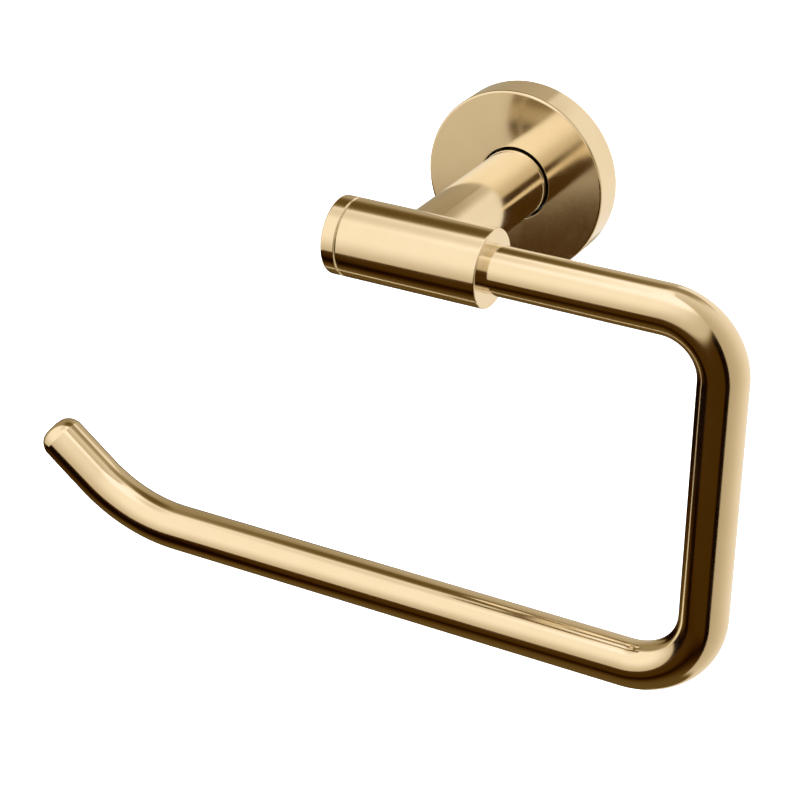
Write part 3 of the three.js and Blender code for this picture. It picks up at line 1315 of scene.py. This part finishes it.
@dataclass
class SwingArm:
    """The bent bar, with its journal inside the barrel."""

    bar: NodeBox = box_of("arm")
    washer: NodeBox = box_of("arm_washer")
    rod_radius: float = 5 * MM
    upper_bend: float = 12.3 * MM
    lower_bend: float = 15.7 * MM
    upturn_start: float = -59 * MM
    upturn_bend: float = 35 * MM
    upturn_degrees: float = 38.0
    tip_length: float = 14.6 * MM
    tip_rounding: float = 3 * MM
    tip_crease_degrees: float = 14.0
    tip_steps: int = 12
    tip_face_rings: tuple[float, ...] = (0.97, 0.5)
    shoulder: float = 12.6 * MM
    shoulder_bevel: float = 0.2 * MM
    journal_radius: float = 4 * MM
    journal_chamfer: float = 0.4 * MM
    washer_gap: float = 0.3 * MM
    waist_radius: float = 3.4 * MM
    waist_half: float = 4.9 * MM
    waist_slope: float = 0.6 * MM
    tapped_radius: float = 2.1 * MM
    tapped_lead: float = 0.3 * MM
    tapped_end: float = -3.5 * MM
    sharp_degrees: float = 11.0
    sides: int = 96

    def journal(self) -> list[Station]:
        """Lays out the part inside the barrel, from its tapped hole to the shoulder.

        Returns:
            The stations in order.
        """
        end = self.washer.high.x + self.washer_gap
        return [Station(x, 0.0, 0.0, radius) for x, radius in (
            (self.tapped_end, self.tapped_radius),
            (end + self.tapped_lead, self.tapped_radius),
            (end, self.tapped_radius + self.tapped_lead),
            (end, self.journal_radius - self.journal_chamfer),
            (end + self.journal_chamfer, self.journal_radius),
            (-self.waist_half - self.waist_slope, self.journal_radius),
            (-self.waist_half, self.waist_radius),
            (self.waist_half, self.waist_radius),
            (self.waist_half + self.waist_slope, self.journal_radius),
            (self.shoulder, self.journal_radius),
            (self.shoulder, self.rod_radius - self.shoulder_bevel),
            (self.shoulder + self.shoulder_bevel, self.rod_radius),
        )]

    def tip(self, last: Station) -> list[Station]:
        """Lays out the rounded end of the rod.

        Args:
            last: The station where the rounding starts.

        Returns:
            The stations in order.
        """
        crease = math.radians(self.tip_crease_degrees)
        stations = []
        for i in range(1, self.tip_steps + 1):
            turn = crease + (math.pi / 2 - crease) * i / self.tip_steps
            rise = (math.sin(turn) - math.sin(crease)) / (1 - math.sin(crease))
            reach = self.tip_rounding * rise
            radius = self.rod_radius - self.tip_rounding * (math.cos(crease) - math.cos(turn))
            x = last.x + reach * math.cos(last.heading)
            z = last.z + reach * math.sin(last.heading)
            stations.append(Station(x, z, last.heading, radius))
        for share in self.tip_face_rings:
            stations.append(Station(x, z, last.heading, radius * share))
        return stations

    def path(self) -> list[Station]:
        """Lays out the whole rod.

        Returns:
            The stations in order, from the journal's tapped hole to the tip.
        """
        side = self.bar.high.x - self.rod_radius
        low = self.bar.low.z + self.rod_radius
        stations = self.journal()

        def run(length: float, steps: int) -> None:
            """Goes straight on from the last station.

            Args:
                length: How far it goes.
                steps: The number of stations it adds.
            """
            last = stations[-1]
            for i in range(1, steps + 1):
                reach = length * i / steps
                x = last.x + reach * math.cos(last.heading)
                z = last.z + reach * math.sin(last.heading)
                stations.append(Station(x, z, last.heading, self.rod_radius))

        def bend(radius: float, degrees: float, steps: int) -> None:
            """Bends clockwise, seen from the front, from the last station.

            Args:
                radius: The bend's radius at the centreline.
                degrees: The angle of the bend.
                steps: The number of stations it adds.
            """
            last = stations[-1]
            centre_x = last.x + radius * math.sin(last.heading)
            centre_z = last.z - radius * math.cos(last.heading)
            for i in range(1, steps + 1):
                heading = last.heading - math.radians(degrees) * i / steps
                x = centre_x - radius * math.sin(heading)
                z = centre_z + radius * math.cos(heading)
                stations.append(Station(x, z, heading, self.rod_radius))

        run(side - self.upper_bend - stations[-1].x, 12)
        bend(self.upper_bend, 90.0, 48)
        run(-self.upper_bend - low - self.lower_bend, 12)
        bend(self.lower_bend, 90.0, 48)
        run(stations[-1].x - self.upturn_start, 24)
        bend(self.upturn_bend, self.upturn_degrees, 32)
        run(self.tip_length - self.tip_rounding, 4)
        return stations + self.tip(stations[-1])

    def build(self, finishes: Finishes) -> None:
        """Sweeps the rod along its path and dresses it.

        Args:
            finishes: The object's finishes.
        """
        mesh_data = bmesh.new()
        rings = []
        for place in self.path():
            centre = Vector((place.x, self.bar.centre.y, place.z))
            across = Vector((-math.sin(place.heading), 0, math.cos(place.heading)))
            rings.append(add_ring(mesh_data, self.sides, lambda angle: centre + place.radius * (
                across * math.cos(angle) + Vector((0, math.sin(angle), 0)))))
        skin_bar(mesh_data, rings)
        rod = finish_mesh("arm_polished", mesh_data, self.sharp_degrees)
        dress(rod, Body.ARM, Slot.GOLD, finishes.gold_arm, "arm")


# ------------------------------------------------------------------ inner fastenings


@dataclass(frozen=True)
class ScrewSize:
    """The sizes of a socket-head screw that its box doesn't give."""

    head_height: float
    shank_radius: float
    pitch: float
    socket: float
    head_rounding: float = 0.25 * MM
    seat_rounding: float = 0.1 * MM
    socket_share: float = 0.6
    thread_share: float = 0.45
    overlap: float = 0.1 * MM


@dataclass
class Fastenings:
    """The screws and washers inside: post screw, grub screw, and the arm's screw and washers."""

    post_screw: NodeBox = box_of("post_screw")
    grub_screw: NodeBox = box_of("post_grub_screw")
    arm_screw: NodeBox = box_of("arm_screw")
    post_screw_size: ScrewSize = ScrewSize(1.4 * MM, 2.5 * MM, 0.8 * MM, 3 * MM)
    arm_screw_size: ScrewSize = ScrewSize(1.9 * MM, 2 * MM, 0.7 * MM, 2.5 * MM)
    grub_thread_depth: float = 0.22 * MM
    grub_pitch: float = 0.5 * MM
    grub_socket: float = 1.5 * MM
    grub_socket_depth: float = 1.2 * MM
    washer_bore_radius: float = 2.2 * MM
    washer_bore_rounding: float = 0.08 * MM
    washer_rim_rounding: float = 0.15 * MM
    slit_half: float = 0.25 * MM
    slit_reach: float = 5 * MM
    slit_slant: float = 0.2

    def build(self, finishes: Finishes) -> None:
        """Builds and dresses the five pieces.

        Args:
            finishes: The object's finishes.
        """
        origin = Vector((0, self.arm_screw.centre.y, 0))
        ends = (self.post_screw.low.y, self.post_screw.high.y)
        post = self.socket_screw(
            "post_screw_turned", Axis.WALL, Vector(), ends, self.post_screw.size.x / 2,
            self.post_screw_size,
        )
        dress(post, Body.HOLDER, Slot.STEEL, finishes.steel, "post_screw")
        ends = (self.arm_screw.low.x, self.arm_screw.high.x)
        arm = self.socket_screw(
            "arm_screw_turned", Axis.BARREL, origin, ends, self.arm_screw.size.z / 2,
            self.arm_screw_size,
        )
        dress(arm, Body.ARM, Slot.STEEL, finishes.steel, "arm_screw")
        self.build_grub(finishes)
        self.build_washers(origin, finishes)

    def socket_screw(
        self,
        name: str,
        axis: Axis,
        origin: Vector,
        ends: tuple[float, float],
        head_radius: float,
        size: ScrewSize,
    ) -> bpy.types.Object:
        """Makes a socket-head screw whose head is at its low end.

        Args:
            name: The piece's name.
            axis: The screw's axis.
            origin: The point on the axis where along is zero.
            ends: The head's outer end and the shank's tip.
            head_radius: The head's radius.
            size: The screw's other sizes.

        Returns:
            The new object.
        """
        low, high = ends
        seat = low + size.head_height
        screw = lathed(name, [
            Corner(low, 0.0),
            Corner(low, head_radius, size.head_rounding),
            Corner(seat, head_radius, size.seat_rounding),
            Corner(seat, 0.0),
        ], False, axis, origin, sides=64)
        socket = (low - OVERCUT, low + size.socket_share * size.head_height)
        cut_away(screw, [hex_cutter(size.socket, socket, axis, origin)])
        join_mesh(screw, threaded(
            "shank", size.shank_radius, size.thread_share * size.pitch, size.pitch,
            (seat - size.overlap, high), axis, origin,
        ))
        return screw

    def build_grub(self, finishes: Finishes) -> None:
        """Builds the small screw that locks the post on its spigot.

        Args:
            finishes: The object's finishes.
        """
        box = self.grub_screw
        origin = Vector((0, box.centre.y, 0))
        grub = threaded(
            "post_grub_screw_turned", box.size.x / 2, self.grub_thread_depth, self.grub_pitch,
            (box.low.z, box.high.z), Axis.UP, origin,
        )
        socket = (box.low.z - OVERCUT, box.low.z + self.grub_socket_depth)
        cut_away(grub, [hex_cutter(self.grub_socket, socket, Axis.UP, origin)])
        dress(grub, Body.HOLDER, Slot.STEEL, finishes.steel, "post_grub_screw")

    def build_washers(self, origin: Vector, finishes: Finishes) -> None:
        """Builds the plain washer and the split lock washer.

        Args:
            origin: The point on the barrel's axis where along is zero.
            finishes: The object's finishes.
        """
        for node, split in (("arm_washer", False), ("arm_lock_washer", True)):
            box = NodeBox.of(node)
            rim = box.size.z / 2
            piece = lathed(node + "_stamped", [
                Corner(box.low.x, self.washer_bore_radius, self.washer_bore_rounding),
                Corner(box.low.x, rim, self.washer_rim_rounding),
                Corner(box.high.x, rim, self.washer_rim_rounding),
                Corner(box.high.x, self.washer_bore_radius, self.washer_bore_rounding),
            ], True, Axis.BARREL, origin, sides=64)
            if split:
                slit = box_cutter(
                    (box.low.x - OVERCUT, -self.slit_half, 0),
                    (box.high.x + OVERCUT, self.slit_half, self.slit_reach),
                )
                for vert in slit.data.vertices:
                    vert.co.y += origin.y + vert.co.z * self.slit_slant
                cut_away(piece, [slit])
            dress(piece, Body.ARM, Slot.STEEL, finishes.steel, node)


# ------------------------------------------------------------------ studio


@dataclass
class Camera:
    """The view of the object, by place, target and roll."""

    place: Vector = field(default_factory=lambda: Vector((195.9, -420.8, 185.1)) * MM)
    target: Vector = field(default_factory=lambda: Vector((-14.3, -30.0, -44.7)) * MM)
    roll_degrees: float = 0.74
    lens: float = 105.64
    sensor: float = 36.0
    nearest: float = 0.01
    farthest: float = 50.0

    def build(self) -> None:
        """Makes the camera and sets it as the scene's."""
        data = bpy.data.cameras.new("camera")
        data.lens = self.lens
        data.sensor_width = self.sensor
        data.clip_start = self.nearest
        data.clip_end = self.farthest
        camera = bpy.data.objects.new("camera", data)
        bpy.context.scene.collection.objects.link(camera)
        camera.location = self.place
        forward = (self.target - self.place).to_track_quat("-Z", "Y")
        roll = Matrix.Rotation(math.radians(self.roll_degrees), 4, "Z").to_quaternion()
        camera.rotation_mode = "QUATERNION"
        camera.rotation_quaternion = forward @ roll
        bpy.context.scene.camera = camera


@dataclass(frozen=True)
class Edge:
    """A soft straight edge on the tent: the part that faces a direction by more than an offset."""

    facing: Direction
    offset: float = 0.0
    softness: float = 0.1

    @classmethod
    def right_of(cls, degrees: float, softness: float) -> "Edge":
        """Takes the part to the right of an upright line, counted from the front."""
        turn = math.radians(degrees)
        return cls((math.cos(turn), math.sin(turn), 0.0), 0.0, softness)

    @classmethod
    def left_of(cls, degrees: float, softness: float) -> "Edge":
        """Takes the part to the left of an upright line, counted from the front."""
        turn = math.radians(degrees)
        return cls((-math.cos(turn), -math.sin(turn), 0.0), 0.0, softness)

    @classmethod
    def above(cls, degrees: float, softness: float) -> "Edge":
        """Takes the part above a level line."""
        return cls((0.0, 0.0, 1.0), math.sin(math.radians(degrees)), softness)

    @classmethod
    def below(cls, degrees: float, softness: float) -> "Edge":
        """Takes the part below a level line."""
        return cls((0.0, 0.0, -1.0), -math.sin(math.radians(degrees)), softness)

    @classmethod
    def near(cls, azimuth: float, elevation: float, radius: float, softness: float) -> "Edge":
        """Takes a round patch about a direction.

        Args:
            azimuth: The patch's direction, in degrees from the front.
            elevation: Its height, in degrees.
            radius: Its radius, in degrees.
            softness: The softness of its edge.

        Returns:
            The edge.
        """
        turn, rise = math.radians(azimuth), math.radians(elevation)
        level = math.cos(rise)
        facing = (level * math.sin(turn), -level * math.cos(turn), math.sin(rise))
        return cls(facing, math.cos(math.radians(radius)), softness)


@dataclass(frozen=True)
class Panel:
    """One part of the tent: its edges, and how bright it is along a direction."""

    edges: tuple[Edge, ...]
    low: float
    high: float
    along: Direction = (0.0, 0.0, 1.0)
    start: float = -1.0
    end: float = 1.0


# the lamp's direction, the one that the room brightens along, and the tent's part behind the wall
LAMP: Direction = (-0.603, -0.296, 0.740)
ROOM: Direction = (0.5, 0.86, 0.0)
BEHIND = Edge((0.0, 1.0, 0.0), 0.25)


@dataclass(frozen=True)
class LightTent:
    """A round tent of soft light: a big lamp above on the left, a pale wall on the right."""

    centre: Direction = (20 * MM, -51 * MM, -30 * MM)
    radius: float = 326 * MM
    brightest: float = 1.25
    panels: tuple[Panel, ...] = (
        # the dark table
        Panel((), 0.115, 0.005, start=-0.985, end=-0.70),
        Panel((Edge.left_of(37, 0.05), Edge.above(-42, 0.07), Edge.right_of(-44, 0.09)),
              0.056, 0.056),
        Panel((Edge.left_of(-70, 0.2), Edge.below(-37, 0.12)), 0.12, 0.12),
        # the room behind on the left
        Panel((Edge.left_of(-121, 0.05), Edge.above(-15, 0.07), BEHIND),
              0.3, 0.62, ROOM, 0.1, 0.95),
        Panel((Edge.left_of(-150, 0.06), Edge.above(-26, 0.08), BEHIND),
              0.3, 0.62, ROOM, 0.1, 0.95),
        # the big lamp
        Panel((Edge(LAMP, 0.207, 0.06), Edge.above(-20.2, 0.022),
               Edge((-0.198, -0.969, 0.151), 0.0, 0.07),
               Edge((-0.352, -0.170, 0.920), -0.004, 0.022),
               Edge((-0.295, -0.712, 0.636), 0.0, 0.08)), 0.63, 1.03, LAMP, 0.3, 0.85),
        Panel((Edge.above(58, 0.08),), 0.62, 1.22, (-0.6, -0.7, 0.4), -0.1, 0.5),
        Panel((Edge.near(-84, 62, 10, 0.04),), 0.70, 0.70),
        # the pale wall
        Panel((Edge.right_of(54.5, 0.014), Edge.above(-69, 0.02), Edge.right_of(8, 0.03)),
              0.5, 0.92, (-0.2, 0.98, 0.0), -0.8, 1.0),
        # the dim arch behind, over the wall
        Panel((Edge((-0.380, -0.683, 0.624)), Edge.below(66, 0.04), Edge((-0.3, 0.95, 0.0), 0.35)),
              0.33, 0.33),
        Panel((Edge.above(37, 0.08), Edge.below(66, 0.04), Edge((-0.3, 0.95, 0.0), 0.5)),
              0.3, 0.3),
        Panel((Edge.near(-138, 47, 15, 0.04),), 0.12, 0.12),
    )
    tints: tuple[tuple[float, Direction], ...] = (
        (0.0, (0.0, 0.0, 0.0)),
        (0.02, (0.022, 0.006, 0.0)),
        (0.056, (0.056, 0.026, 0.002)),
        (0.155, (0.155, 0.107, 0.036)),
        (0.32, (0.32, 0.269, 0.167)),
        (0.64, (0.64, 0.592, 0.505)),
        (1.05, (1.05, 1.05, 1.04)),
        (1.25, (1.25, 1.25, 1.42)),
    )

    def build_edge_group(self) -> bpy.types.NodeTree:
        """Builds the mask of the tent's part beyond one soft edge.

        Returns:
            The node group.
        """
        group, tools, given, result = new_group(
            "tent edge",
            [("Direction", VECTOR, None), ("Facing", VECTOR, (0.0, 0.0, 1.0)),
             ("Offset", FLOAT, 0.0), ("Softness", FLOAT, 0.1)],
            ["Mask"],
        )
        facing = tools.vector_math("NORMALIZE", given.outputs["Facing"])
        height = tools.vector_math("DOT_PRODUCT", given.outputs["Direction"], facing, "Value")
        beyond = tools.math("SUBTRACT", height, given.outputs["Offset"])
        share = tools.math("DIVIDE", beyond, given.outputs["Softness"])
        tools.feed(result, Mask=tools.ramp(share, -1.0, 1.0))
        return group

    def build_material(self) -> bpy.types.Material:
        """Builds the tent's glow, panel over panel.

        Returns:
            The material.
        """
        material = bpy.data.materials.new("light tent")
        material.use_nodes = True
        material.node_tree.nodes.clear()
        tools = NodeTree(material.node_tree)
        place = tools.add("ShaderNodeTexCoord").outputs["Object"]
        direction = tools.vector_math("NORMALIZE", place)
        group = self.build_edge_group()
        level: object = 0.0
        for panel in self.panels:
            axis = Vector(panel.along).normalized()
            along = tools.vector_math("DOT_PRODUCT", direction, axis, "Value")
            glow = tools.ramp(along, panel.start, panel.end, panel.low, panel.high)
            mask: object = 1.0
            for edge in panel.edges:
                node = tools.group(
                    group, Direction=direction, Facing=edge.facing, Offset=edge.offset,
                    Softness=edge.softness,
                )
                mask = tools.math("MULTIPLY", mask, node.outputs["Mask"])
            level = tools.blend(mask, level, glow)
        tint = tools.add("ShaderNodeValToRGB")
        tools.feed(tint, Fac=tools.math("DIVIDE", level, self.brightest))
        stops = tint.color_ramp.elements
        while len(stops) < len(self.tints):
            stops.new(0.5)
        for stop, (position, colour) in zip(stops, self.tints):
            stop.position = position / self.brightest
            stop.color = (*colour, 1.0)
        emission = tools.add("ShaderNodeEmission")
        tools.feed(emission, Color=tint.outputs["Color"])
        output = tools.add("ShaderNodeOutputMaterial")
        tools.feed(output, Surface=emission.outputs[0])
        return material

    def build(self) -> None:
        """Builds the tent, which lights the holder and which the camera sees through."""
        mesh_data = bmesh.new()
        bmesh.ops.create_uvsphere(mesh_data, u_segments=48, v_segments=24, radius=self.radius)
        tent = finish_mesh("light_tent", mesh_data)
        tent.location = self.centre
        tent.data.materials.append(self.build_material())
        tent.visible_camera = False


@dataclass(frozen=True)
class Studio:
    """The pale floor, the white surround and the light tent."""

    white: Colour = (1.0, 1.0, 1.0, 1.0)
    floor_drop: float = 0.8
    floor_half: float = 12.0
    floor_colour: Colour = (0.9, 0.9, 0.9, 1.0)
    floor_roughness: float = 0.9

    def build(self) -> None:
        """Builds the floor and the light."""
        LightTent().build()
        self.build_floor()
        world = bpy.data.worlds.new("white surround")
        world.use_nodes = True
        world.node_tree.nodes["Background"].inputs["Color"].default_value = self.white
        bpy.context.scene.world = world
        bpy.context.scene.view_settings.view_transform = "Standard"

    def build_floor(self) -> None:
        """Lays the plain pale floor well below the holder."""
        mesh_data = bmesh.new()
        bmesh.ops.create_grid(mesh_data, x_segments=8, y_segments=8, size=self.floor_half)
        for vert in mesh_data.verts:
            vert.co.z -= self.floor_drop
        floor = finish_mesh("studio_floor", mesh_data)
        material, tools, shader, _ = new_material("pale floor")
        tools.feed(
            shader, Base_Color=self.floor_colour, Roughness=self.floor_roughness,
            Emission_Color=self.white, Emission_Strength=1.0,
        )
        floor.data.materials.append(material)
        floor.visible_glossy = False
        floor.visible_diffuse = False


# ------------------------------------------------------------------ assembly


def main() -> None:
    """Builds the camera, the studio and every sub-assembly in order."""
    logging.basicConfig(level=logging.INFO, format="%(name)s: %(message)s")
    Camera().build()
    Studio().build()
    finishes = Finishes()
    for part in (WallFixing(), Rosette(), Post(), Pivot(), SwingArm(), Fastenings()):
        log.info("building %s", type(part).__name__)
        part.build(finishes)


if __name__ == "__main__":
    main()
